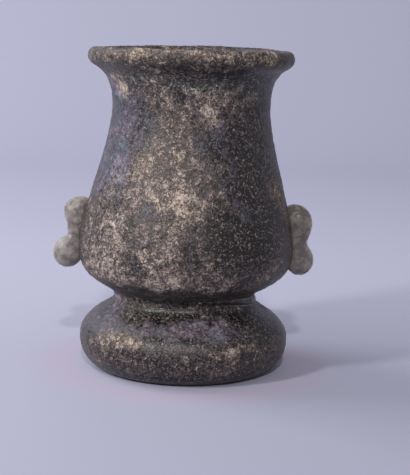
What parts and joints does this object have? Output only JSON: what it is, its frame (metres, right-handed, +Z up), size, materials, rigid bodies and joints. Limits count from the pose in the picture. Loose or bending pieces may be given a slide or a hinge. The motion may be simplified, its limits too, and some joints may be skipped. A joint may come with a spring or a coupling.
{
  "type": "glass vase",
  "caption": "Pear-shaped blown glass vase with a flared round lip, a blown bell foot, a trail at the waist and a small lobed handle on each side.",
  "frame": {"origin": "centre of the ring that the foot rests on, at the surface it stands on", "axes": "+Z up through the mouth, the two handles along X with the larger lobe of the left one towards -X, and the front towards -Y"},
  "size_m": [0.0824, 0.0674, 0.1003],
  "materials": {
    "body_glass": "dark purple glass under a beige and brown weathered crust, matt, opaque",
    "foot_glass": "dark purple glass with a silvery film and a patchy beige crust, satin, opaque",
    "trail_glass": "dark purple glass, glossy in places, with a pale film along its edges, opaque",
    "handle_glass": "pale greenish grey glass, frosted by wear, with brown specks, nearly opaque"
  },
  "bodies": {
    "root": {"body": "body_glass", "foot": "foot_glass", "waist_trail": "trail_glass", "handle_left": "handle_glass", "handle_right": "handle_glass", "pontil_wad": "foot_glass"}
  },
  "joints": []
}
